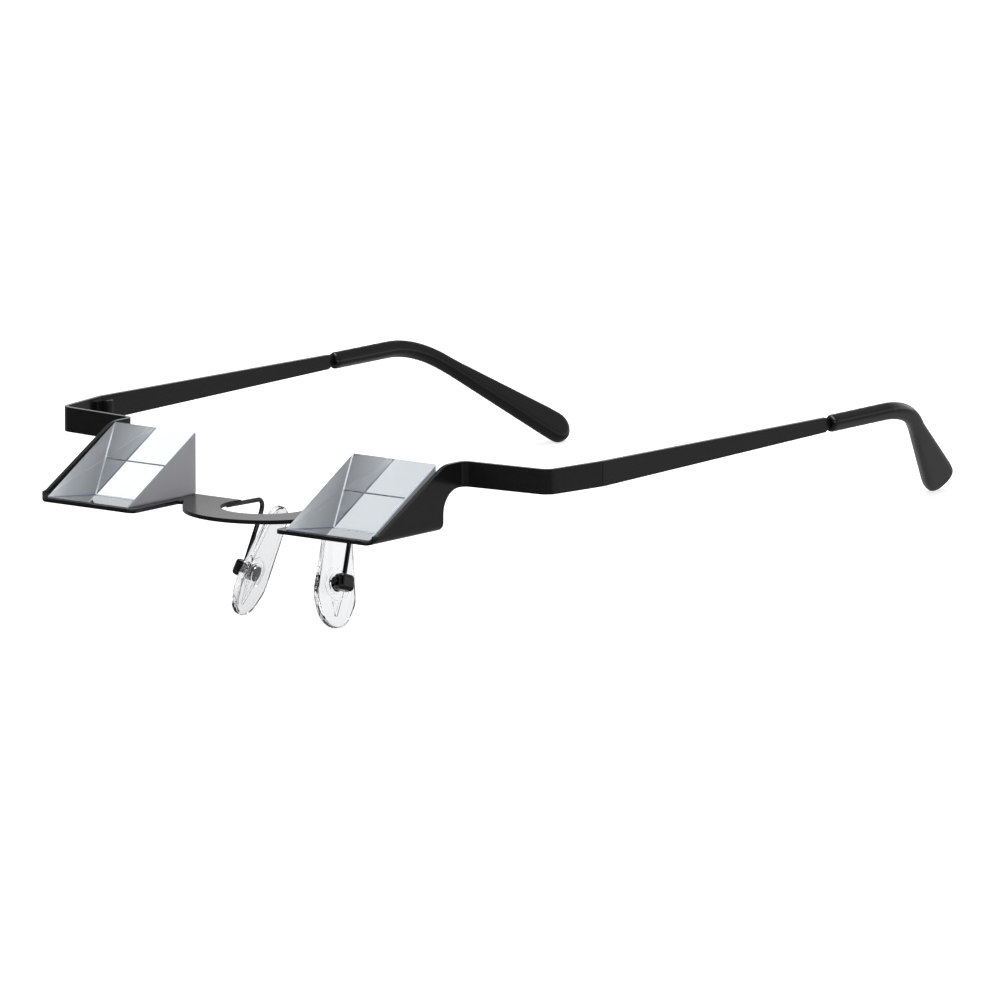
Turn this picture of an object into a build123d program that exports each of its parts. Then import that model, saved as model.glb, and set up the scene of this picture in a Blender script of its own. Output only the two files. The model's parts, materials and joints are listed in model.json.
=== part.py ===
from build123d import *
import os
from math import acos, atan2, cos, degrees, pi, radians, sin, sqrt, tan

# Prism glasses: a person who faces ahead looks through them at what is overhead.
# Two 30-60-90 prisms lie on the trays of one bent sheet-metal front. Folding temples
# and a pair of clear nose pads on wire arms carry the front on the face.
# Lengths are in millimetres and angles in degrees.
# While the pieces are made, x runs to the wearer's left, y back to the ears and z up,
# from the middle of the bridge. The prisms' sharp front edges lie on y = 0, and their
# mirrored lower faces on z = 0. At the end the glasses are set down on a table.

# Prisms
prism_width = 22.3
prism_depth = 23.0
prism_angle = 30.0
prism_gap_half = 21.2      # from the middle of the glasses to each prism's inner end
prism_bevel = 0.25

# Bent sheet front
sheet = 0.9
fold_radius = 1.0          # inside radius where the tray turns up into its side wing
tray_front_lip = 0.8
tray_inner_lip = 2.1
tray_corner_radius = 1.4
wing_front_radius = 2.7
wing_nose_height = 1.1
wing_slope = 28.8
wing_crown_radius = 8.0
wing_throat_radius = 5.0
band_top = 13.05
band_height = 5.4
band_turn_y = 29.9         # where the band leaves the wing and turns outwards
band_sweep = 2.1           # how far the band's outer corner lies behind its inner one
band_inner_radius = 1.5
band_outer_radius = 3.0
front_half_width = 66.0
end_splay = 8.8
seam_y = 47.6
seam_gap = 0.14

# Bridge
bridge_front_y = 2.7
bridge_front_inset = 1.1   # how much less the front arc's radius is than the way to the tray
bridge_root_y = 16.25      # where the bridge's front edge meets the tray
bridge_root_radius = 0.8
notch_front_y = 10.4
notch_radius = 9.5

# Temples
temple_length = 80.0       # from the seam to the mouth of the tip
temple_end_height = 3.2
temple_neck_length = 1.6
tang_height = 1.6
tang_thickness = 0.7
tang_end_wall = 2.2        # from the tang's end to the start of the tip's bend
tip_straight = 19.6
tip_bend_radius = 25.0
tip_bend_angle = 39.0
tip_turn_in = 35.7         # how far the whole tip is turned about its sleeve, to bend inwards
tip_width = 3.0
tip_height = 3.4
tip_edge_radius = 0.9
tip_mouth_chamfer = 0.35
paddle_length = 36.0
paddle_height = 7.2
paddle_end_flat = 0.6      # between the two roundings of the paddle's end
paddle_flare_radius = 30.0
paddle_flare_shares = (0.08, 0.84)    # where the paddle's height starts and stops growing
tip_fit = 0.05

# Hinges
hinge_height = 3.9
hinge_plate = 0.8
hinge_front_length = 3.4
hinge_back_length = 6.7
barrel_radius = 1.3
barrel_gap = 0.2           # from the strip's inner face to the barrels
knuckle_gap = 0.05
knuckle_clearance = 0.1
hinge_screw_radius = 0.6
hinge_head_radius = 1.0
hinge_head_height = 0.45
screw_fit = 0.02
running_fit = 0.05
driver_slot_width = 0.3
driver_slot_depth = 0.2

# Nose pads
pad_pivot = (13.2, 29.3, -16.3)
pad_lean_in = 12.1
pad_lean_back = 20.3
pad_flare = -10.0
pad_offset = 2.5           # from the pivot in to the middle of the pad's thickness
pad_shift_back = 0.35
pad_below_pivot = 4.4      # from the pivot down to the centre of the pad's lowest arc
pad_belly_rise = 2.1       # from there up to the centre of its widest arc
pad_top_rise = 16.0        # and up to the centre of its highest arc
pad_low_radius = 4.9
pad_belly_radius = 5.7
pad_high_radius = 3.8
pad_thickness = 1.8
pad_edge_radius = 0.6
pad_boss_radius = 2.3
pad_boss_height = 0.25
pad_ring_radius = 3.4      # to the middle of the raised ring round the boss
pad_ring_width = 0.4
pad_ring_height = 0.2
pad_rib_width = 0.5
pad_rib_height = 0.35
pad_rib_length = 6.2
pad_rib_angle = 16.0
pad_rib_meet = 7.0         # from the pivot down to where the two ribs meet
insert_radius = 1.7
insert_thickness = 0.6
insert_fit = 0.03
lug_width = 1.4
lug_height = 2.0
box_length = 4.0           # along the pad screw
box_height = 3.6
box_reach = 2.0            # from the pivot out to the box's back wall
box_front = 0.9            # from the pivot in to the box's open front
box_back_wall = 0.6
box_edge_radius = 0.85
box_slot_clearance = 0.06
box_slot_play = 0.25       # above and below the lug, so that the pad can rock
pad_screw_radius = 0.5
pad_head_radius = 0.85
pad_head_height = 0.4

# Nose pad wires
wire_radius = 0.5
wire_fit = 0.02
wire_lap = 3.0             # how far the wire reaches under the tray, beside the notch
wire_inset = 0.9           # from the notch's widest place to the wire's middle
wire_groove_depth = 0.45
wire_bend = (12.2, 34.7, -1.7)
wire_elbow = (12.4, 33.4, -5.4)
wire_bend_radius = 1.8
wire_elbow_radius = 4.0

# On the table
widest_lean = 30.0         # the search for the resting lean starts from this, either way
lean_step = 0.0005         # and ends once it is this fine

overrun = 1.0              # how far a cutter reaches past what it cuts

# Sizes that follow from those above
prism_height = prism_depth * tan(radians(prism_angle))
fold_x = prism_gap_half + prism_width
wing_x = fold_x + fold_radius + sheet
wing_front_y = wing_front_radius - tray_front_lip
band_bottom = band_top - band_height
band_middle = band_top - band_height / 2
band_corner_y = band_turn_y + band_sweep
seam_x = front_half_width + (seam_y - band_corner_y) * tan(radians(end_splay))
tray_inner_x = prism_gap_half - tray_inner_lip
end_piece_inner_x = seam_x - sheet / cos(radians(end_splay))
barrel_offset = barrel_radius + barrel_gap
hinge_x = seam_x - sheet - barrel_offset
hinge_bottom = band_middle - hinge_height / 2
knuckle = (hinge_height - 2 * knuckle_gap) / 3
tip_x = seam_x - sheet / 2
tip_y = seam_y + temple_length
tang_length = tip_straight - tang_end_wall
paddle_end_radius = (paddle_height - paddle_end_flat) / 2
wire_start_x = notch_radius + wire_inset
wire_start_z = wire_groove_depth - sheet - wire_radius


def round_corner(face, point, radius):
    """Round the corner of a flat face that lies nearest to a point."""
    corner = face.vertices().sort_by_distance(point)[0]
    return fillet(corner, radius)


def prism():
    """One prism: a 30-60-90 triangle with its small bevels, seated on its tray."""
    side = Polyline((0, 0), (prism_depth, 0), (prism_depth, prism_height), close=True)
    body = extrude(Plane.YZ * make_face(side), prism_width)
    body = chamfer(body.edges(), prism_bevel)
    return Pos(prism_gap_half, 0, 0) * body


def tray_plan():
    """Half of the flat part of the front seen from above: one tray and half the bridge."""
    radius = tray_inner_x - bridge_front_inset
    centre_y = bridge_front_y + radius
    root = Vector(tray_inner_x, bridge_root_y - centre_y)
    # the front arc turns until it points straight at the root
    turn = pi / 2 + atan2(root.Y, root.X) - acos(radius / root.length)
    notch_centre_y = notch_front_y + notch_radius
    notch_x = sqrt(notch_radius ** 2 - (prism_depth - notch_centre_y) ** 2)
    notch_angle = degrees(atan2(prism_depth - notch_centre_y, notch_x))
    edge = [
        CenterArc((0, centre_y), radius, -90, degrees(turn)),
        Polyline(
            (radius * sin(turn), centre_y - radius * cos(turn)),
            (tray_inner_x, bridge_root_y),
            (tray_inner_x, -tray_front_lip),
            (fold_x, -tray_front_lip),
            (fold_x, prism_depth),
            (notch_x, prism_depth),
        ),
        CenterArc((0, notch_centre_y), notch_radius, -90, 90 + notch_angle),
        Line((0, bridge_front_y), (0, notch_front_y)),
    ]
    plan = make_face(edge)
    plan = round_corner(plan, (tray_inner_x, bridge_root_y), bridge_root_radius)
    return round_corner(plan, (tray_inner_x, -tray_front_lip), tray_corner_radius)


def wing_outline():
    """The upright sheet seen from the side: sloping wing, throat, and band to the seam."""
    slope_run = (band_top - wing_nose_height) / tan(radians(wing_slope))
    crown = (wing_front_y + slope_run, band_top)
    throat = (prism_depth, band_bottom)
    end_y = seam_y + overrun
    side = make_face(Polyline(
        (-tray_front_lip, -sheet),
        (-tray_front_lip, wing_nose_height),
        (wing_front_y, wing_nose_height),
        crown,
        (end_y, band_top),
        (end_y, band_bottom),
        throat,
        (prism_depth, -sheet),
        close=True,
    ))
    side = round_corner(side, crown, wing_crown_radius)
    side = round_corner(side, throat, wing_throat_radius)
    return extrude(Plane.YZ * side, seam_x + overrun)


def upright_sheet():
    """Wing, band and end piece as one strip of sheet seen from above, still at full height."""
    splay = tan(radians(end_splay))
    surface = FilletPolyline(
        (wing_x, -tray_front_lip),
        (wing_x, band_turn_y),
        (front_half_width, band_corner_y),
        (seam_x + overrun * splay, seam_y + overrun),
        radius=[band_inner_radius, band_outer_radius],
    )
    strip = make_face(Wire(surface.edges()).offset_2d(sheet, side=Side.LEFT, closed=True))
    wall = Pos(0, 0, fold_radius) * extrude(strip, band_top - fold_radius)
    fold = Plane.XZ * Pos(fold_x, fold_radius) * (
        Circle(fold_radius + sheet) - Circle(fold_radius)
    )
    quarter = Pos(fold_x, -tray_front_lip, -sheet) * Box(
        fold_radius + sheet, prism_depth + tray_front_lip, fold_radius + sheet,
        align=(Align.MIN, Align.MIN, Align.MIN),
    )
    ring = Pos(0, -tray_front_lip, 0) * extrude(fold, -(prism_depth + tray_front_lip))
    return wall + (ring & quarter)


def front_corner_cut():
    """What is rounded off where the tray's front edge runs up into the wing."""
    centre = Pos(wing_x - wing_front_radius, wing_front_y)
    square = centre * Rectangle(
        wing_front_radius + overrun, wing_front_radius + overrun, align=(Align.MIN, Align.MAX)
    )
    cut = square - centre * Circle(wing_front_radius)
    return Pos(0, 0, -sheet - overrun) * extrude(cut, band_top)


def frame_front():
    """The whole front, folded from one piece of sheet."""
    tray = Pos(0, 0, -sheet) * extrude(tray_plan(), sheet)
    half = tray + (upright_sheet() & wing_outline()) - front_corner_cut()
    behind_seam = Pos(seam_x, seam_y - seam_gap / 2, band_middle) * Box(
        2 * (sheet + overrun), 2 * overrun, band_height + 2 * overrun,
        align=(Align.CENTER, Align.MIN, Align.CENTER),
    )
    half = half - behind_seam - wire_run(wire_radius + wire_fit)
    return half + mirror(half, about=Plane.YZ)


def wire_run(radius):
    """A nose pad wire's route with a given radius, from the bridge to the pad box."""
    route = FilletPolyline(
        (wire_start_x, prism_depth - wire_lap, wire_start_z),
        wire_bend,
        wire_elbow,
        pad_frame().from_local_coords(Vector(0, box_height / 2, (box_reach - box_front) / 2)),
        radius=[wire_bend_radius, wire_elbow_radius],
    )
    start = Plane(origin=route @ 0, z_dir=route % 0)
    return sweep(start * Circle(radius), path=route)


def pad_frame():
    """The nose pad's own frame at its pivot: x back along the screw, y up the pad, z outwards."""
    up = Vector(0, 0, 1).rotate(Axis.Y, -pad_lean_in).rotate(Axis.X, -pad_lean_back)
    back = up.cross(Vector(1, 0, 0)).normalized().rotate(Axis((0, 0, 0), up), pad_flare)
    return Plane(origin=pad_pivot, x_dir=back, z_dir=back.cross(up))


def box_block():
    """The pad box before it is rounded and slotted, in the pad's frame."""
    return Pos(0, 0, -box_front) * Box(
        box_length, box_height, box_front + box_reach, align=(Align.CENTER, Align.CENTER, Align.MIN)
    )


def pad_box():
    """The little box that holds the pad's lug, open towards the pad."""
    block = fillet(box_block().edges(), box_edge_radius)
    slot_depth = box_front + box_reach - box_back_wall
    slot = Pos(0, 0, -box_front - overrun) * Box(
        lug_width + 2 * box_slot_clearance, lug_height + 2 * box_slot_play, slot_depth + overrun,
        align=(Align.CENTER, Align.CENTER, Align.MIN),
    )
    bore = Rot(0, 90, 0) * Cylinder(pad_screw_radius + screw_fit, box_length + 2 * overrun)
    return pad_frame() * (block - slot - bore)


def pad_screw():
    """The slotted screw through the pad box, with its head at the front."""
    shank = Rot(0, 90, 0) * Cylinder(pad_screw_radius, box_length)
    return pad_frame() * (shank + Pos(-box_length / 2, 0, 0) * Rot(0, -90, 0) * slotted_head(
        pad_head_radius, pad_head_height))


def slotted_head(radius, height):
    """A flat screw head that stands on z = 0, with a driver slot across it."""
    head = Cylinder(radius, height, align=(Align.CENTER, Align.CENTER, Align.MIN))
    slot = Pos(0, 0, height - driver_slot_depth) * Box(
        2 * radius + overrun, driver_slot_width, height, align=(Align.CENTER, Align.CENTER, Align.MIN)
    )
    return head - slot


def pad_insert():
    """The metal disc moulded into the pad, with the lug that turns on the pad screw."""
    disc = Pos(0, 0, -pad_offset) * Cylinder(
        insert_radius, insert_thickness, align=(Align.CENTER, Align.CENTER, Align.MIN)
    )
    lug_end = lug_height / 2
    lug = Rot(0, 90, 0) * Cylinder(lug_end, lug_width)
    lug += Pos(0, 0, -pad_offset + insert_thickness) * Box(
        lug_width, lug_height, pad_offset - insert_thickness, align=(Align.CENTER, Align.CENTER, Align.MIN)
    )
    bore = Rot(0, 90, 0) * Cylinder(pad_screw_radius + running_fit, lug_width + overrun)
    return pad_frame() * (disc + lug - bore)


def pad_outline():
    """The pad's outline: an egg of three arcs and their common tangents."""
    arcs = [
        (0, pad_low_radius),
        (pad_belly_rise, pad_belly_radius),
        (pad_top_rise, pad_high_radius),
    ]
    edges = []
    for rise, radius in arcs:
        edges += (Pos(pad_shift_back, rise - pad_below_pivot) * Circle(radius)).edges()
    return make_hull(edges)


def nose_pad():
    """The clear pad: a boss round its metal insert, a ring round that, and ribs that meet below."""
    middle = -pad_offset
    body = Pos(0, 0, middle - pad_thickness / 2) * extrude(pad_outline(), pad_thickness)
    body = fillet(body.edges(), pad_edge_radius)
    outside = middle + pad_thickness / 2
    boss = Pos(0, 0, middle) * Cylinder(
        pad_boss_radius, pad_thickness / 2 + pad_boss_height, align=(Align.CENTER, Align.CENTER, Align.MIN)
    )
    body += boss
    ring = Circle(pad_ring_radius + pad_ring_width / 2) - Circle(pad_ring_radius - pad_ring_width / 2)
    body += Pos(0, 0, middle) * extrude(ring, pad_thickness / 2 + pad_ring_height)
    for turn in (-pad_rib_angle, pad_rib_angle):
        rib = Pos(0, -pad_rib_meet, middle) * Rot(0, 0, turn) * Box(
            pad_rib_width, pad_rib_length, pad_thickness / 2 + pad_rib_height,
            align=(Align.CENTER, Align.MIN, Align.MIN),
        )
        body += rib
    pocket = Pos(0, 0, middle) * Cylinder(
        insert_radius + insert_fit, insert_thickness + insert_fit,
        align=(Align.CENTER, Align.CENTER, Align.MIN),
    )
    neck = Pos(0, 0, middle) * Box(
        lug_width + 2 * insert_fit, lug_height + 2 * insert_fit, outside - middle + overrun,
        align=(Align.CENTER, Align.CENTER, Align.MIN),
    )
    return pad_frame() * (body - pocket - neck)


def barrel_at(radius, bottom, height):
    """A cylinder on the hinge axis."""
    return Pos(hinge_x, seam_y, bottom) * Cylinder(
        radius, height, align=(Align.CENTER, Align.CENTER, Align.MIN)
    )


def knuckle_bottom(level):
    """Height of the lower face of a hinge knuckle, counted from the lowest."""
    return hinge_bottom + level * (knuckle + knuckle_gap)


def hinge_knuckle(level, behind):
    """One knuckle with the web that joins it to its plate, in front of or behind the axis."""
    bottom = knuckle_bottom(level)
    side = Align.MIN if behind else Align.MAX
    web = Pos(hinge_x, seam_y, bottom) * Box(
        barrel_offset, barrel_radius, knuckle, align=(Align.MIN, side, Align.MIN)
    )
    return barrel_at(barrel_radius, bottom, knuckle) + web


def plate_space(level):
    """Room for the other leaf's knuckle at one level."""
    radius = barrel_radius + knuckle_clearance
    return barrel_at(radius, knuckle_bottom(level) - knuckle_gap, knuckle + 2 * knuckle_gap)


def hinge_front_leaf():
    """The leaf on the inside of the end piece, with the upper and lower knuckles."""
    inner = Location((end_piece_inner_x, seam_y, hinge_bottom), (0, 0, -end_splay))
    plate = inner * Pos(0, -seam_gap / 2, 0) * Box(
        hinge_plate, hinge_front_length, hinge_height, align=(Align.MAX, Align.MAX, Align.MIN)
    )
    leaf = plate - plate_space(1)
    for level in (0, 2):
        web = hinge_knuckle(level, behind=False)
        leaf += web - outside_of_end_piece()
    bore = barrel_at(hinge_screw_radius + screw_fit, hinge_bottom - overrun, hinge_height + 2 * overrun)
    return leaf - bore


def outside_of_end_piece():
    """Everything beyond the inner face of the end piece."""
    return Location((end_piece_inner_x, seam_y, hinge_bottom - overrun), (0, 0, -end_splay)) * Box(
        barrel_offset, 2 * hinge_back_length, hinge_height + 2 * overrun,
        align=(Align.MIN, Align.CENTER, Align.MIN),
    )


def hinge_temple_leaf():
    """The leaf on the inside of the temple, with the middle knuckle."""
    plate = Pos(seam_x - sheet, seam_y + seam_gap / 2, hinge_bottom) * Box(
        hinge_plate, hinge_back_length, hinge_height, align=(Align.MAX, Align.MIN, Align.MIN)
    )
    leaf = plate - plate_space(0) - plate_space(2) + hinge_knuckle(1, behind=True)
    bore = barrel_at(hinge_screw_radius + running_fit, hinge_bottom - overrun, hinge_height + 2 * overrun)
    return leaf - bore


def hinge_screw():
    """The hinge screw: its head seats on the upper knuckle."""
    top = hinge_bottom + hinge_height
    shank = barrel_at(hinge_screw_radius, hinge_bottom, hinge_height)
    return shank + Pos(hinge_x, seam_y, top) * slotted_head(hinge_head_radius, hinge_head_height)


def strip_between(upper, thickness):
    """A flat upright strip under the given upper edge, as deep below the band's middle as above."""
    lower = [(along, -up) for along, up in reversed(upper)]
    side = Pos(0, band_middle) * make_face(Polyline(*upper, *lower, close=True))
    return Pos(tip_x, 0, 0) * extrude(Plane.YZ * side, thickness / 2, both=True)


def temple_arm():
    """The flat temple, which tapers to a neck and a thinner tang inside the tip."""
    neck_y = tip_y - temple_neck_length
    blade = [(seam_y + seam_gap / 2, band_height / 2), (neck_y, temple_end_height / 2)]
    tang = [
        (neck_y, temple_end_height / 2),
        (tip_y, tang_height / 2),
        (tip_y + tang_length, tang_height / 2),
    ]
    return strip_between(blade, sheet) + strip_between(tang, tang_thickness)


def tip_paddle():
    """The flattened end of the tip, which grows in height towards its round end, along z."""
    flare, widest = (share * paddle_length for share in paddle_flare_shares)
    upper = [
        (0, tip_height / 2),
        (flare, tip_height / 2),
        (widest, paddle_height / 2),
        (paddle_length, paddle_height / 2),
    ]
    lower = [(along, -up) for along, up in reversed(upper)]
    radii = [paddle_flare_radius, paddle_flare_radius, paddle_end_radius]
    outline = FilletPolyline(*upper, *lower, radius=radii + radii[::-1])
    side = make_face([outline, Line(lower[-1], upper[0])])
    along_z = Plane(origin=(0, 0, 0), x_dir=(0, 0, 1), z_dir=(-1, 0, 0))
    blank = extrude(along_z * side, tip_width / 2, both=True)
    flats = blank.faces().sort_by(Axis.X)
    rims = [edge for flat in (flats[0], flats[-1]) for edge in flat.edges() if edge.center().Z > tip_fit]
    return fillet(rims, tip_edge_radius)


def temple_tip():
    """The plastic tip: a straight sleeve, a bend down and inwards, and a flat paddle."""
    # z runs back, x to the left and y down. The tip is made with its bend straight down,
    # and then turned about its sleeve.
    mouth = Plane(origin=(tip_x, tip_y, band_middle), x_dir=(1, 0, 0), z_dir=(0, 1, 0))
    section = RectangleRounded(tip_width, tip_height, tip_edge_radius)
    sleeve = extrude(section, tip_straight)
    sleeve = chamfer(sleeve.faces().sort_by(Axis.Z)[0].edges(), tip_mouth_chamfer)
    bend_axis = Axis((0, tip_bend_radius, tip_straight), (-1, 0, 0))
    bend = revolve(Pos(0, 0, tip_straight) * section, bend_axis, tip_bend_angle)
    paddle = (Pos(0, 0, tip_straight) * tip_paddle()).rotate(bend_axis, tip_bend_angle)
    moulding = Rot(0, 0, tip_turn_in) * (sleeve + bend + paddle)
    tang_room = Pos(0, 0, -overrun) * Box(
        tang_thickness + 2 * tip_fit, tang_height + 2 * tip_fit, tang_length + tip_fit + overrun,
        align=(Align.CENTER, Align.CENTER, Align.MIN),
    )
    return mouth * (moulding - tang_room)


def both_sides(solid):
    """A piece and its mirror image."""
    return solid, mirror(solid, about=Plane.YZ)


def make_pieces():
    """Every piece by its node name, in the frame of the trays."""
    pieces = {"frame_front": frame_front()}
    for name, solid in (
        ("prism", prism()),
        ("hinge_front_leaf", hinge_front_leaf()),
        ("hinge_temple_leaf", hinge_temple_leaf()),
        ("temple_arm", temple_arm()),
        ("temple_tip", temple_tip()),
        ("nose_pad_wire", wire_run(wire_radius) - pad_frame() * box_block()),
        ("nose_pad_box", pad_box()),
        ("nose_pad_insert", pad_insert()),
        ("nose_pad", nose_pad()),
    ):
        pieces["left_" + name], pieces["right_" + name] = both_sides(solid)
    pieces["hinge_screws"] = Compound(children=list(both_sides(hinge_screw())))
    pieces["nose_pad_screws"] = Compound(children=list(both_sides(pad_screw())))
    return pieces


def lowest(solid, tilt):
    """How low a solid reaches once the glasses are tilted about the x axis."""
    return solid.rotate(Axis.X, tilt).bounding_box().min.Z


def table_tilt(pad, tip):
    """The tilt at which the pads and the tips touch the same table, by repeated halving."""
    low, high = -widest_lean, widest_lean
    while high - low > lean_step:
        middle = (low + high) / 2
        if lowest(pad, middle) < lowest(tip, middle):
            high = middle
        else:
            low = middle
    return (low + high) / 2


def main():
    """Make the pieces, set the glasses down on the table and write one file for each piece."""
    pieces = make_pieces()
    tilt = table_tilt(pieces["left_nose_pad"], pieces["left_temple_tip"])
    whole = Compound(children=[piece.rotate(Axis.X, tilt) for piece in pieces.values()])
    box = whole.bounding_box()
    drop = Location((0, -(box.min.Y + box.max.Y) / 2, -box.min.Z))
    print("tilt", tilt, "drop", drop.position, "size", box.size)
    os.makedirs("parts", exist_ok=True)
    for name, piece in pieces.items():
        export_step(drop * piece.rotate(Axis.X, tilt), "parts/" + name + ".step")


main()
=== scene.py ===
import json
import math

import bpy
from mathutils import Matrix, Vector

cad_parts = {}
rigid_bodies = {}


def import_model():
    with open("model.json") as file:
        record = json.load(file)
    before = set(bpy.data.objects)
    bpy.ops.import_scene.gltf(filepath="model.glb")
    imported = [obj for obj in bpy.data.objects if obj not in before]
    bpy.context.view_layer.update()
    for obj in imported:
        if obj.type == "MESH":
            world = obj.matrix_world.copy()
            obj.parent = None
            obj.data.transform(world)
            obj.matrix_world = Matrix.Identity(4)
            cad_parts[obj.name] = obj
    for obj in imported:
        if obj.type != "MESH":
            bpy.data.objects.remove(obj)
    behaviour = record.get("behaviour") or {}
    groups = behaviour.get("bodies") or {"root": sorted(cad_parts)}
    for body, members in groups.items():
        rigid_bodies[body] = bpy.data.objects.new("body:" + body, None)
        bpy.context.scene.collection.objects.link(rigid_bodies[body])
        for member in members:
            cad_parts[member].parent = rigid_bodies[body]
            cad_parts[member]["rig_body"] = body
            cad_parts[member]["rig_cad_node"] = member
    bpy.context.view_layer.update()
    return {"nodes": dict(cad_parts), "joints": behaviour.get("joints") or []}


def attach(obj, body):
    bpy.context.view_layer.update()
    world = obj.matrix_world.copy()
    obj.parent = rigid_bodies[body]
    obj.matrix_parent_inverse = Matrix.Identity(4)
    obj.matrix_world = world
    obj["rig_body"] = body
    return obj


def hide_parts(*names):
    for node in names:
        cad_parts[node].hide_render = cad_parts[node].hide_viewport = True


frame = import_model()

mm = 0.001
sides = ("left", "right")
nodes = frame["nodes"]
leftHinge = next(joint for joint in frame["joints"] if joint["name"] == "left_temple_fold")
print("frame loaded:", len(nodes), "nodes")


# The trays lean a little on the table. The hinge axes stand square on the trays.
trayUp = Vector(leftHinge["axis"]).normalized()
wearerLeft = Vector((1, 0, 0))
trayBack = trayUp.cross(wearerLeft)
hingePlace = Vector(leftHinge["pos_m"])


def fromHinge(place):
    # a place in millimetres along the trays' own directions, counted from the left hinge
    return hingePlace + (wearerLeft * place[0] + trayBack * place[1] + trayUp * place[2]) * mm


def onlySelect(thing):
    bpy.ops.object.select_all(action="DESELECT")
    thing.select_set(True)
    bpy.context.view_layer.objects.active = thing


def turnTowards(place, aim, axis):
    # the turn that points an object's own axis from its place to the aim
    return (Vector(aim) - Vector(place)).to_track_quat(axis, "Y").to_euler()


def linear(hexColour):
    # "#rrggbb" as it is seen, to the linear colour that a shader takes
    def channel(value):
        return value / 12.92 if value <= 0.04045 else ((value + 0.055) / 1.055) ** 2.4
    parts = [int(hexColour[i:i + 2], 16) / 255 for i in (1, 3, 5)]
    return tuple(channel(part) for part in parts) + (1.0,)


# Materials

# a Mix node's sockets share their names, so they go by number
mixFactor, numberA, numberB, colourA, colourB = 0, 2, 3, 6, 7
mixedColour = 2


def newMaterial(name):
    material = bpy.data.materials.new(name)
    material.use_nodes = True
    material.node_tree.nodes.clear()
    return material, material.node_tree


def addNode(tree, kind, settings=None, inputs=None, links=None):
    # settings are the node's own properties, inputs its socket values, links its incoming sockets
    node = tree.nodes.new(kind)
    for key, value in (settings or {}).items():
        setattr(node, key, value)
    for key, value in (inputs or {}).items():
        node.inputs[key].default_value = value
    for key, socket in (links or {}).items():
        tree.links.new(socket, node.inputs[key])
    return node


def finishMaterial(tree, shader):
    addNode(tree, "ShaderNodeOutputMaterial", links={"Surface": shader.outputs[0]})


satinEnamel = {
    "colour": "#101011",
    "wornColour": "#171718",
    "patchSize": 14,       # mm across a patch where the film lies thinner
    "roughness": (0.16, 0.24),
    "grainSize": 0.12,     # mm between the specks that make the gloss uneven
    "ior": 1.5,
    "specular": 0.4,
    "peelSize": 0.9,       # mm between the crests of the sprayed film
    "peelDepth": 0.0035,   # mm
}
# the pad wires and boxes were soldered and then dipped, and came out darker and glossier
dippedEnamel = {
    **satinEnamel,
    "colour": "#09090a",
    "wornColour": "#0d0d0e",
    "roughness": (0.08, 0.12),
}


def makeEnamel(name, look):
    # Baked black enamel: a thin film that shows soft reflections with a faint orange peel, and
    # is very slightly greyer in patches where it lies thinner.
    material, tree = newMaterial(name)
    place = addNode(tree, "ShaderNodeTexCoord").outputs["Object"]
    patches = addNode(tree, "ShaderNodeTexNoise", inputs={
        "Scale": 1 / (look["patchSize"] * mm), "Detail": 3.0}, links={"Vector": place})
    colour = addNode(tree, "ShaderNodeMix", {"data_type": "RGBA"},
                     {colourA: linear(look["colour"]), colourB: linear(look["wornColour"])},
                     {mixFactor: patches.outputs["Fac"]})
    grain = addNode(tree, "ShaderNodeTexNoise", inputs={
        "Scale": 1 / (look["grainSize"] * mm), "Detail": 2.0}, links={"Vector": place})
    gloss = addNode(tree, "ShaderNodeMapRange", inputs={
        "To Min": look["roughness"][0], "To Max": look["roughness"][1]},
        links={"Value": grain.outputs["Fac"]})
    peel = addNode(tree, "ShaderNodeTexNoise", inputs={
        "Scale": 1 / (look["peelSize"] * mm), "Detail": 2.0, "Roughness": 0.4},
        links={"Vector": place})
    bump = addNode(tree, "ShaderNodeBump", inputs={
        "Strength": 1.0, "Distance": look["peelDepth"] * mm}, links={"Height": peel.outputs["Fac"]})
    paint = addNode(tree, "ShaderNodeBsdfPrincipled", inputs={
        "IOR": look["ior"], "Specular IOR Level": look["specular"]},
        links={"Base Color": colour.outputs[mixedColour], "Roughness": gloss.outputs[0],
               "Normal": bump.outputs[0]})
    finishMaterial(tree, paint)
    return material


crownGlassIor = 1.5168
polishedTint = "#f6fafd"


def makePolishedGlass():
    # Crown glass, ground and polished: clear, and turned very slightly blue by its depth.
    material, tree = newMaterial("polished_crown_glass")
    glass = addNode(tree, "ShaderNodeBsdfPrincipled", inputs={
        "Base Color": linear(polishedTint), "Roughness": 0.0, "IOR": crownGlassIor,
        "Transmission Weight": 1.0})
    finishMaterial(tree, glass)
    return material


groundGlass = {
    "roughness": 0.6,
    "grit": 0.08,           # mm between the pits that the wheel left
    "gritDepth": 0.004,     # mm
    "gritStrength": 0.6,
    "clear": 0.25,          # share of the light that still passes
    "thinEdge": -47.6,      # mm, the wedge's thin edge, counted back from the hinge
    "paintedShadeLength": 21,       # mm from the thin edge over which the painted shade inside darkens
    "paintedGlowLength": 9,     # mm from the thin edge over which a painted glow stands in for light carried by many small reflections
    "paintedGlowStrength": 0.22,   # how bright the painted glow is at the thin edge
}


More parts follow.
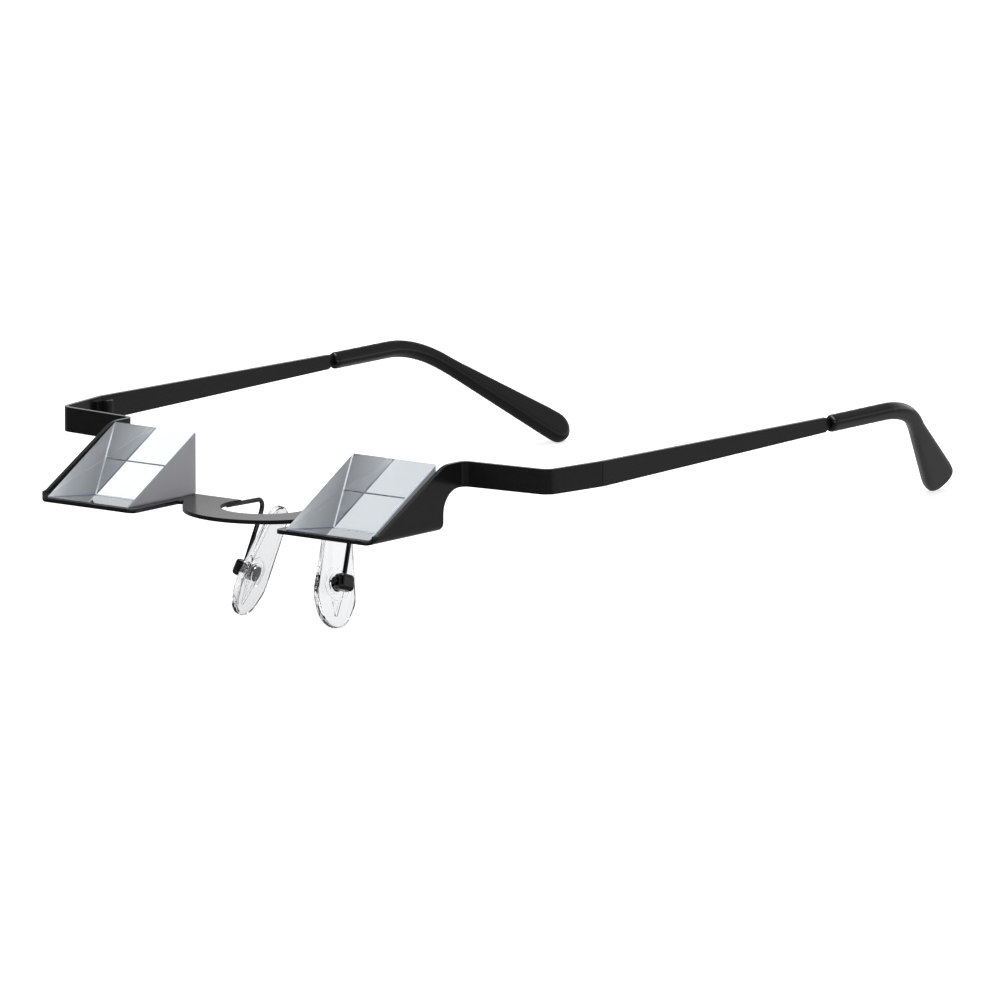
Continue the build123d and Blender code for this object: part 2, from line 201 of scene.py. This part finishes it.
def makeGroundGlass(name, outside, paintedInsideThin, paintedInsideThick, clear=groundGlass["clear"]):
    # The same glass left as the fine grinding wheel left it: grey and hardly clear. From within it
    # has painted light and shade: paler towards the wedge's thin edge, as if light came in from
    # both sides.
    look = groundGlass
    material, tree = newMaterial(name)
    place = addNode(tree, "ShaderNodeTexCoord").outputs["Object"]
    thinEdge = fromHinge((0, look["thinEdge"], 0)).y
    depth = addNode(tree, "ShaderNodeSeparateXYZ", links={"Vector": place})
    # how far into the thick end, which sets the painted shade inside
    thick = addNode(tree, "ShaderNodeMapRange", inputs={
        "From Min": thinEdge, "From Max": thinEdge + look["paintedShadeLength"] * mm},
        links={"Value": depth.outputs["Y"]})
    # painted light and shade seen from within: paler at the thin end, darker at the thick end
    paintedInsideLight = addNode(tree, "ShaderNodeMix", {"data_type": "RGBA"},
                     {colourA: linear(paintedInsideThin), colourB: linear(paintedInsideThick)},
                     {mixFactor: thick.outputs[0]})
    inside = addNode(tree, "ShaderNodeNewGeometry").outputs["Backfacing"]
    colour = addNode(tree, "ShaderNodeMix", {"data_type": "RGBA"}, {colourA: linear(outside)},
                     {mixFactor: inside, colourB: paintedInsideLight.outputs[mixedColour]})
    grit = addNode(tree, "ShaderNodeTexNoise", inputs={
        "Scale": 1 / (look["grit"] * mm), "Detail": 2.0}, links={"Vector": place})
    bump = addNode(tree, "ShaderNodeBump", inputs={
        "Strength": look["gritStrength"], "Distance": look["gritDepth"] * mm},
        links={"Height": grit.outputs["Fac"]})
    # a painted glow, seen from within only, that fades away from the thin edge
    carried = addNode(tree, "ShaderNodeMapRange", inputs={
        "From Min": thinEdge, "From Max": thinEdge + look["paintedGlowLength"] * mm,
        "To Min": look["paintedGlowStrength"], "To Max": 0.0}, links={"Value": depth.outputs["Y"]})
    glow = addNode(tree, "ShaderNodeMath", {"operation": "MULTIPLY"},
                   links={0: carried.outputs[0], 1: inside})
    glass = addNode(tree, "ShaderNodeBsdfPrincipled", inputs={
        "Roughness": look["roughness"], "IOR": crownGlassIor, "Transmission Weight": clear,
        "Emission Color": (1, 1, 1, 1)},
        links={"Base Color": colour.outputs[mixedColour], "Normal": bump.outputs[0],
               "Emission Strength": glow.outputs[0]})
    finishMaterial(tree, glass)
    return material


mirrorColour = "#eceff0"


def makeSilvering():
    # Aluminium evaporated on the lower face and seen through the glass: a clean mirror.
    material, tree = newMaterial("evaporated_aluminium_mirror")
    mirror = addNode(tree, "ShaderNodeBsdfPrincipled", inputs={
        "Base Color": linear(mirrorColour), "Metallic": 1.0, "Roughness": 0.0})
    finishMaterial(tree, mirror)
    return material


padPvc = {
    "colour": "#f7f8f9",
    "paintedRimShade": "#4c5054",
    "paintedRimWidth": 0.15,       # from 0 to 1, the lower the narrower
    "roughness": 0.05,
    "ior": 1.5,
    "rippleSize": 2.2,      # mm
    "rippleDepth": 0.02,    # mm
}


def makePadPvc():
    # Clear soft PVC, injection moulded: glossy skin with the slow ripples of the mould, and
    # painted shade that darkens it towards the rim as a dark outline.
    look = padPvc
    material, tree = newMaterial("clear_moulded_pvc")
    place = addNode(tree, "ShaderNodeTexCoord").outputs["Object"]
    ripple = addNode(tree, "ShaderNodeTexNoise", inputs={
        "Scale": 1 / (look["rippleSize"] * mm), "Detail": 1.0}, links={"Vector": place})
    bump = addNode(tree, "ShaderNodeBump", inputs={
        "Strength": 1.0, "Distance": look["rippleDepth"] * mm},
        links={"Height": ripple.outputs["Fac"]})
    # painted shade: a darker colour towards the rim, where the surface turns from the view
    paintedRimMask = addNode(tree, "ShaderNodeLayerWeight", inputs={"Blend": look["paintedRimWidth"]})
    colour = addNode(tree, "ShaderNodeMix", {"data_type": "RGBA"},
                     {colourA: linear(look["colour"]), colourB: linear(look["paintedRimShade"])},
                     {mixFactor: paintedRimMask.outputs["Facing"]})
    plastic = addNode(tree, "ShaderNodeBsdfPrincipled", inputs={
        "Roughness": look["roughness"], "IOR": look["ior"], "Transmission Weight": 1.0},
        links={"Base Color": colour.outputs[mixedColour], "Normal": bump.outputs[0]})
    finishMaterial(tree, plastic)
    return material


tipAcetate = {
    "colour": "#0b0b0c",
    "roughness": (0.12, 0.15),
    "wearSize": 1.5,        # mm across a duller patch
    "ior": 1.48,
    "specular": 0.36,
    "rippleSize": 4.0,      # mm
    "rippleDepth": 0.012,   # mm
}


def makeTipAcetate():
    # Black cellulose acetate, moulded over the tang and tumbled to a gloss.
    look = tipAcetate
    material, tree = newMaterial("tumbled_black_acetate")
    place = addNode(tree, "ShaderNodeTexCoord").outputs["Object"]
    patches = addNode(tree, "ShaderNodeTexNoise", inputs={
        "Scale": 1 / (look["wearSize"] * mm), "Detail": 4.0}, links={"Vector": place})
    gloss = addNode(tree, "ShaderNodeMapRange", inputs={
        "To Min": look["roughness"][0], "To Max": look["roughness"][1]},
        links={"Value": patches.outputs["Fac"]})
    ripple = addNode(tree, "ShaderNodeTexNoise", inputs={
        "Scale": 1 / (look["rippleSize"] * mm), "Detail": 1.0}, links={"Vector": place})
    bump = addNode(tree, "ShaderNodeBump", inputs={
        "Strength": 1.0, "Distance": look["rippleDepth"] * mm},
        links={"Height": ripple.outputs["Fac"]})
    plastic = addNode(tree, "ShaderNodeBsdfPrincipled", inputs={
        "Base Color": linear(look["colour"]), "IOR": look["ior"],
        "Specular IOR Level": look["specular"]},
        links={"Roughness": gloss.outputs[0], "Normal": bump.outputs[0]})
    finishMaterial(tree, plastic)
    return material


turnedSteel = {
    "colour": "#6f6f70",
    "roughness": (0.22, 0.34),
    "lineSpacing": 0.05,    # mm between tool lines
    "lineDepth": 0.002,     # mm
    "lineStrength": 0.5,
}
blackenedSteel = {**turnedSteel, "colour": "#2b2b2c", "roughness": (0.18, 0.28)}


def makeTurnedSteel(name, look):
    # Steel turned on a lathe, with fine tool lines; dark once it has been blackened.
    material, tree = newMaterial(name)
    place = addNode(tree, "ShaderNodeTexCoord").outputs["Object"]
    lines = addNode(tree, "ShaderNodeTexNoise", inputs={
        "Scale": 1 / (look["lineSpacing"] * mm), "Detail": 2.0}, links={"Vector": place})
    gloss = addNode(tree, "ShaderNodeMapRange", inputs={
        "To Min": look["roughness"][0], "To Max": look["roughness"][1]},
        links={"Value": lines.outputs["Fac"]})
    bump = addNode(tree, "ShaderNodeBump", inputs={
        "Strength": look["lineStrength"], "Distance": look["lineDepth"] * mm},
        links={"Height": lines.outputs["Fac"]})
    metal = addNode(tree, "ShaderNodeBsdfPrincipled", inputs={
        "Base Color": linear(look["colour"]), "Metallic": 1.0},
        links={"Roughness": gloss.outputs[0], "Normal": bump.outputs[0]})
    finishMaterial(tree, metal)
    return material


enamel = makeEnamel("satin_black_enamel", satinEnamel)
glossEnamel = makeEnamel("dipped_black_enamel", dippedEnamel)
polishedGlass = makePolishedGlass()
# Each ground face and bevel: its colour from outside, and painted light and shade from inside at
# the thin and at the thick end. Through the slope the end bevels are painted faint diagonals, the
# rear one a painted light line under the bright cells, the lower one a painted dark line across the
# middle, and those beside the slope a painted blue-violet line, like the one the real glass splits
# off; the one beside the nose is also painted darker outside, as shade.
groundEnds = makeGroundGlass("ground_crown_glass", "#a2a2a8", "#ffffff", "#a0a0a6")
slopeBevel = makeGroundGlass(
    "ground_bevel_painted_blue_fringe", "#cfd6e4", "#8f94b8", "#454c8c")
noseBevel = makeGroundGlass("ground_bevel_beside_the_nose_painted_shade", "#7d8086", "#8f94b8", "#454c8c")
endBevel = makeGroundGlass("ground_bevel_on_the_mirror", "#d9dce0", "#d0d0d4", "#a9abb0")
rearBevel = makeGroundGlass("half_polished_bevel_painted_light_line", "#b4b8be", "#ffffff", "#ffffff", clear=0.9)
lowerBevel = makeGroundGlass("ground_bevel_painted_dark_line", "#8d9096", "#55575c", "#55575c")
silvering = makeSilvering()
pvc = makePadPvc()
acetate = makeTipAcetate()
steel = makeTurnedSteel("turned_stainless_steel", turnedSteel)
darkSteel = makeTurnedSteel("blackened_screw_steel", blackenedSteel)
print("materials made:", len(bpy.data.materials))


def wear(piece, *materials):
    piece.data.materials.clear()
    for material in materials:
        piece.data.materials.append(material)


# Painted sheet metal: the folded front and the temples with their edges eased

sheetEdges = {
    "frontEase": 0.09,      # mm, the width of an eased edge
    "templeEase": 0.1,
    "steps": 2,             # cuts across an eased edge
    "clearance": 0.01,      # mm to what lies on a face, so that neither flickers
    "flatWithin": 0.5,      # degrees between facets that are one flat face
    "easedFrom": 35,        # degrees, the least corner that is eased
    "smoothWithin": 40,     # degrees between faces that shade as one
}
mergeWithin = 0.002   # mm between corners that are the same point


def mergedCopy(nodeName, pieceName):
    # a copy of a node with its corners joined, so that modifiers can work on it
    source = nodes[nodeName]
    piece = source.copy()
    piece.data = source.data.copy()
    piece.name = pieceName
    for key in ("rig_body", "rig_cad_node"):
        del piece[key]
    piece.parent = None
    bpy.context.scene.collection.objects.link(piece)
    onlySelect(piece)
    bpy.ops.mesh.customdata_custom_splitnormals_clear()
    bpy.ops.object.mode_set(mode="EDIT")
    bpy.ops.mesh.select_all(action="SELECT")
    bpy.ops.mesh.remove_doubles(threshold=mergeWithin * mm)
    bpy.ops.object.mode_set(mode="OBJECT")
    return piece


def applyModifier(piece, name, kind, settings):
    modifier = piece.modifiers.new(name, kind)
    for key, value in settings.items():
        setattr(modifier, key, value)
    bpy.ops.object.modifier_apply(modifier=modifier.name)


def easedCopy(nodeName, pieceName, width, body):
    # a copy whose sharp edges are rounded off, as paint leaves them
    piece = mergedCopy(nodeName, pieceName)
    bpy.ops.object.mode_set(mode="EDIT")
    bpy.ops.mesh.dissolve_limited(angle_limit=math.radians(sheetEdges["flatWithin"]))
    bpy.ops.object.mode_set(mode="OBJECT")
    applyModifier(piece, "clear of its neighbours", "DISPLACE", {
        "strength": -sheetEdges["clearance"] * mm, "mid_level": 0})
    applyModifier(piece, "eased edges", "BEVEL", {
        "width": width * mm, "segments": sheetEdges["steps"], "limit_method": "ANGLE",
        "angle_limit": math.radians(sheetEdges["easedFrom"])})
    bpy.ops.object.shade_smooth_by_angle(angle=math.radians(sheetEdges["smoothWithin"]))
    applyModifier(piece, "flat faces stay flat", "WEIGHTED_NORMAL", {"keep_sharp": True})
    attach(piece, body)
    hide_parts(nodeName)
    wear(piece, enamel)


easedCopy("frame_front", "folded_front", sheetEdges["frontEase"], "front")
for side in sides:
    easedCopy(side + "_temple_arm", side + "_temple_strip", sheetEdges["templeEase"],
              side + "_temple")
print("painted sheet done")


# Tips: the moulding tumbled until every edge is round

tipTumble = {
    "grid": 0.25,     # mm between the points of the new skin
    "factor": 0.5,    # how far a round draws a point to its neighbours, from 0 to 1
    "rounds": 24,
    "swell": 0.06,    # mm, for what the smoothing took off
}


def tumbledTip(side):
    piece = mergedCopy(side + "_temple_tip", side + "_tumbled_tip")
    applyModifier(piece, "one skin", "REMESH", {
        "mode": "VOXEL", "voxel_size": tipTumble["grid"] * mm, "use_smooth_shade": True})
    applyModifier(piece, "tumbled", "SMOOTH", {
        "factor": tipTumble["factor"], "iterations": tipTumble["rounds"]})
    applyModifier(piece, "back to the moulded thickness", "DISPLACE", {
        "strength": tipTumble["swell"] * mm, "mid_level": 0})
    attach(piece, side + "_temple")
    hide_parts(side + "_temple_tip")
    wear(piece, acetate)


for side in sides:
    tumbledTip(side)
print("tips done")


# Hinge screws: driven in until their heads are flush with the knuckles

screwSink = 0.42   # mm


def sunkScrews():
    piece = mergedCopy("hinge_screws", "flush_hinge_screws")
    piece.location = trayUp * -screwSink * mm
    bpy.ops.object.transform_apply(location=True, rotation=False, scale=False)
    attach(piece, "front")
    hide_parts("hinge_screws")
    wear(piece, darkSteel)


sunkScrews()
print("hinge screws done")


# Prisms: polished optical faces, a silvered lower face and ground ends and edges

prismFaces = {
    "slope": 30,         # degrees between the sloping and the silvered face
    # how far a face's direction points along another, from 0 for square to it to 1 for along it
    "along": 0.99,       # a whole face
    "towardsEnd": 0.1,   # a bevel at one of the ends
    "ofSlope": 0.5,      # a bevel that borders on the sloping face
    "ofRear": 0.4,       # a bevel that borders on the upright face
}
prismFinishes = (groundEnds, polishedGlass, silvering, slopeBevel, rearBevel, lowerBevel,
                 endBevel, noseBevel)


def finishOfFace(normal, outwards):
    # outwards is 1 where the prism's outer end looks to +X, and -1 on the other side
    slope = math.radians(prismFaces["slope"])
    hypotenuse = (trayUp * math.cos(slope) - trayBack * math.sin(slope)).normalized()
    whole, end = prismFaces["along"], prismFaces["towardsEnd"]
    across, back, up = abs(normal.x), normal.dot(trayBack), normal.dot(trayUp)
    sloping = normal.dot(hypotenuse)
    if sloping > whole or back > whole:
        return polishedGlass
    if up < -whole:
        return silvering
    if across > whole:
        return groundEnds
    if across > end and sloping > prismFaces["ofSlope"]:
        return slopeBevel if normal.x * outwards > 0 else noseBevel
    if back > prismFaces["ofRear"] and (across > end or up > 0):
        return rearBevel
    return endBevel if across > end else lowerBevel


def dressPrism(side):
    prism = nodes[side + "_prism"]
    wear(prism, *prismFinishes)
    for face in prism.data.polygons:
        finish = finishOfFace(face.normal, 1 if side == "left" else -1)
        face.material_index = prismFinishes.index(finish)


for side in sides:
    dressPrism(side)
    for part in ("hinge_front_leaf", "hinge_temple_leaf"):
        wear(nodes[side + "_" + part], enamel)
    for part in ("nose_pad_wire", "nose_pad_box"):
        wear(nodes[side + "_" + part], glossEnamel)
    wear(nodes[side + "_nose_pad"], pvc)
    wear(nodes[side + "_nose_pad_insert"], steel)
wear(nodes["nose_pad_screws"], darkSteel)
print("carried-over nodes dressed")


# Studio

studio = {
    "floorRadius": 4.0,           # m
    "floorCorners": 96,
    "floorColour": "#c8c8c8",
    "floorGlow": 0.72,            # seen straight or through glass
    "floorGlossFront": 0.03,      # seen as a reflection, before the object
    "floorGlossBack": 0.36,       # seen as a reflection, behind it
    "floorGlossTurn": (-0.2, 0.0),    # where along Y the one becomes the other
    "skyDiffuse": 0.55,
    # brightness of the sky by its height, from the horizon at 0 to overhead at 1
    "skyReflected": ((0.0, 0.95), (0.22, 0.85), (0.45, 0.25), (0.75, 0.3), (1.0, 1.3)),
    "skyThroughGlass": ((0.0, 1.0), (0.3, 1.0), (0.55, 0.7), (1.0, 0.7)),
}


def makeFloor():
    # white to the camera and through glass, with the object's shadow on it
    bpy.ops.object.select_all(action="DESELECT")
    bpy.ops.mesh.primitive_circle_add(vertices=studio["floorCorners"],
                                      radius=studio["floorRadius"], fill_type="NGON")
    floor = bpy.context.active_object
    floor.name = "table_top"
    material, tree = newMaterial("white_sweep")
    ray = addNode(tree, "ShaderNodeLightPath")
    seen = addNode(tree, "ShaderNodeMath", {"operation": "MAXIMUM"},
                   links={0: ray.outputs["Is Camera Ray"], 1: ray.outputs["Is Transmission Ray"]})
    place = addNode(tree, "ShaderNodeTexCoord").outputs["Object"]
    depth = addNode(tree, "ShaderNodeSeparateXYZ", links={"Vector": place})
    gloss = addNode(tree, "ShaderNodeMapRange", {"interpolation_type": "SMOOTHSTEP"}, {
        "From Min": studio["floorGlossTurn"][0], "From Max": studio["floorGlossTurn"][1],
        "To Min": studio["floorGlossFront"], "To Max": studio["floorGlossBack"]},
        {"Value": depth.outputs["Y"]})
    mirrored = addNode(tree, "ShaderNodeMath", {"operation": "MULTIPLY"},
                       links={0: ray.outputs["Is Glossy Ray"], 1: gloss.outputs[0]})
    strength = addNode(tree, "ShaderNodeMath", {"operation": "MULTIPLY_ADD"},
                       {1: studio["floorGlow"]}, {0: seen.outputs[0], 2: mirrored.outputs[0]})
    paper = addNode(tree, "ShaderNodeMix", {"data_type": "RGBA"},
                    {colourA: linear(studio["floorColour"]), colourB: (0, 0, 0, 1)},
                    {mixFactor: ray.outputs["Is Glossy Ray"]})
    matt = addNode(tree, "ShaderNodeBsdfDiffuse", links={"Color": paper.outputs[mixedColour]})
    glow = addNode(tree, "ShaderNodeEmission", links={"Strength": strength.outputs[0]})
    both = addNode(tree, "ShaderNodeAddShader", links={0: matt.outputs[0], 1: glow.outputs[0]})
    finishMaterial(tree, both)
    wear(floor, material)


def brightnessByHeight(tree, height, stops):
    ramp = addNode(tree, "ShaderNodeValToRGB", links={"Fac": height})
    ramp.color_ramp.interpolation = "B_SPLINE"
    points = ramp.color_ramp.elements
    while len(points) < len(stops):
        points.new(1.0)
    for point, (position, value) in zip(points, stops):
        point.position = position
        point.color = (value, value, value, 1)
    return ramp.outputs["Color"]


def makeSky():
    world = bpy.data.worlds.new("white_studio")
    bpy.context.scene.world = world
    world.use_nodes = True
    tree = world.node_tree
    tree.nodes.clear()
    ray = addNode(tree, "ShaderNodeLightPath")
    clear = addNode(tree, "ShaderNodeMath", {"operation": "MAXIMUM"},
                    links={0: ray.outputs["Is Camera Ray"], 1: ray.outputs["Is Transmission Ray"]})
    direction = addNode(tree, "ShaderNodeTexCoord").outputs["Generated"]
    height = addNode(tree, "ShaderNodeSeparateXYZ", links={"Vector": direction})
    reflected = brightnessByHeight(tree, height.outputs["Z"], studio["skyReflected"])
    refracted = brightnessByHeight(tree, height.outputs["Z"], studio["skyThroughGlass"])
    lit = addNode(tree, "ShaderNodeMix", {"data_type": "FLOAT"}, {numberA: studio["skyDiffuse"]},
                  {mixFactor: ray.outputs["Is Glossy Ray"], numberB: reflected})
    seen = addNode(tree, "ShaderNodeMix", {"data_type": "FLOAT"}, {numberB: 1.0},
                   {mixFactor: ray.outputs["Is Camera Ray"], numberA: refracted})
    strength = addNode(tree, "ShaderNodeMix", {"data_type": "FLOAT"}, links={
        mixFactor: clear.outputs[0], numberA: lit.outputs[0], numberB: seen.outputs[0]})
    light = addNode(tree, "ShaderNodeBackground", inputs={"Color": (1, 1, 1, 1)},
                    links={"Strength": strength.outputs[0]})
    addNode(tree, "ShaderNodeOutputWorld", links={"Surface": light.outputs[0]})


whiteCard = {
    "size": (0.3, 0.3),                 # m
    "centre": (-0.493, -0.464, 0.17),
    "aim": (-0.0325, -0.083, 0.034),    # the far prism
    "glow": 1.45,
}


def makeWhiteCard():
    # stands beside the set where the far prism turns the view, and is seen through glass alone
    bpy.ops.object.select_all(action="DESELECT")
    bpy.ops.mesh.primitive_plane_add(size=1)
    card = bpy.context.active_object
    card.name = "white_card"
    card.scale = (*whiteCard["size"], 1)
    card.location = whiteCard["centre"]
    card.rotation_euler = turnTowards(whiteCard["centre"], whiteCard["aim"], "Z")
    bpy.ops.object.transform_apply(location=True, rotation=True, scale=True)
    for kind in ("camera", "diffuse", "glossy", "volume_scatter", "shadow"):
        setattr(card, "visible_" + kind, False)
    material, tree = newMaterial("white_card_paper")
    paper = addNode(tree, "ShaderNodeEmission", inputs={"Strength": whiteCard["glow"]})
    finishMaterial(tree, paper)
    wear(card, material)


# both lamps are aimed at the object; places and sizes in metres, power in watts
softboxes = {
    "top_softbox": {"place": (0.1, 0.1, 1.2), "size": (1.2, 0.9), "power": 14},
    "front_softbox": {"place": (0.9, -1.0, 0.7), "size": (0.5, 0.5), "power": 4},
}


def addSoftbox(name, look):
    lamp = bpy.data.lights.new(name, "AREA")
    lamp.shape = "RECTANGLE"
    lamp.size, lamp.size_y = look["size"]
    lamp.energy = look["power"]
    box = bpy.data.objects.new(name, lamp)
    bpy.context.scene.collection.objects.link(box)
    box.location = look["place"]
    box.rotation_euler = turnTowards(look["place"], (0, 0, 0), "-Z")


makeFloor()
makeSky()
makeWhiteCard()
for name, look in softboxes.items():
    addSoftbox(name, look)


# Camera: where the photograph was taken from, in the trays' own directions

cameraFit = {
    "azimuth": 37.918,      # degrees
    "elevation": 9.861,
    "distance": 2.800056,   # m
    "lens": 476.161,        # mm, on a sensor of this width
    "sensor": 36,
    "aimFromHinge": (-34.538, 12.4, -11.178),   # mm
    "clip": (0.1, 50),      # m
}


def makeCamera():
    azimuth = math.radians(cameraFit["azimuth"])
    elevation = math.radians(cameraFit["elevation"])
    level = wearerLeft * math.sin(azimuth) - trayBack * math.cos(azimuth)
    back = level * math.cos(elevation) + trayUp * math.sin(elevation)
    right = wearerLeft * math.cos(azimuth) + trayBack * math.sin(azimuth)
    up = back.cross(right)
    place = fromHinge(cameraFit["aimFromHinge"]) + back * cameraFit["distance"]
    data = bpy.data.cameras.new("photo_camera")
    data.lens = cameraFit["lens"]
    data.sensor_width = cameraFit["sensor"]
    data.clip_start, data.clip_end = cameraFit["clip"]
    camera = bpy.data.objects.new("photo_camera", data)
    bpy.context.scene.collection.objects.link(camera)
    turn = Matrix((right, up, back)).transposed().to_4x4()
    camera.matrix_world = Matrix.Translation(place) @ turn
    bpy.context.scene.camera = camera


makeCamera()
bpy.context.scene.view_settings.view_transform = "Standard"

print("stage and camera done")
